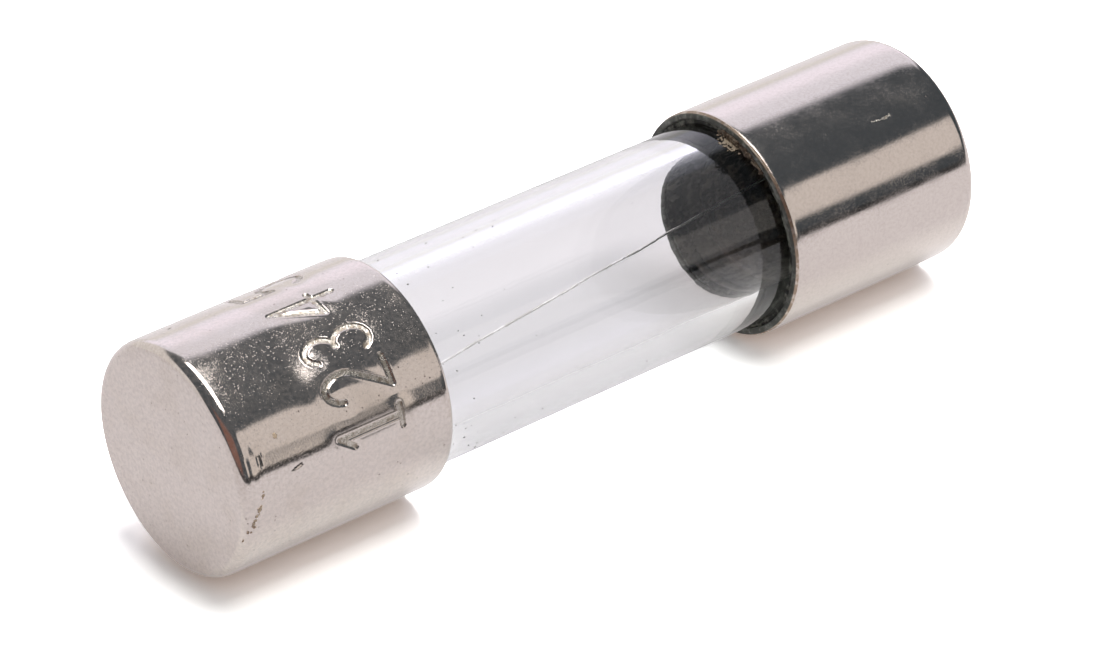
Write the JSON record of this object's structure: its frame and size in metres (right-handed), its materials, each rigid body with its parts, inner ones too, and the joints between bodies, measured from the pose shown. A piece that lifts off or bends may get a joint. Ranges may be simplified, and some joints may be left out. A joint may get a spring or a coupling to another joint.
{
  "type": "glass cartridge fuse",
  "caption": "Small cartridge fuse: a clear glass tube with a thin slanting fuse wire inside and a bright plated contact cap on each end.",
  "frame": {"origin": "centre of the plain end cap's outer face, on which the fuse stands", "axes": "+Z along the fuse's axis, up to the stamped end cap; the fuse wire lies in the XZ plane, at +X in the plain cap and at -X in the stamped cap"},
  "size_m": [0.0052, 0.0052, 0.0201],
  "materials": {
    "plated_cap": "bright nickel plating on drawn brass, a little pitted and scratched",
    "clear_glass": "clear drawn glass tube with fire polished ends",
    "fuse_wire": "plain drawn wire",
    "solder": "dull tin solder",
    "cement": "dry dark cement, tan where it crept out"
  },
  "bodies": {
    "root": {"plain_end_cap": "plated_cap", "stamped_end_cap": "plated_cap", "glass_tube": "clear_glass", "fuse_wire": "fuse_wire", "plain_end_solder": "solder", "stamped_end_solder": "solder", "plain_end_cement": "cement", "stamped_end_cement": "cement"}
  },
  "joints": []
}
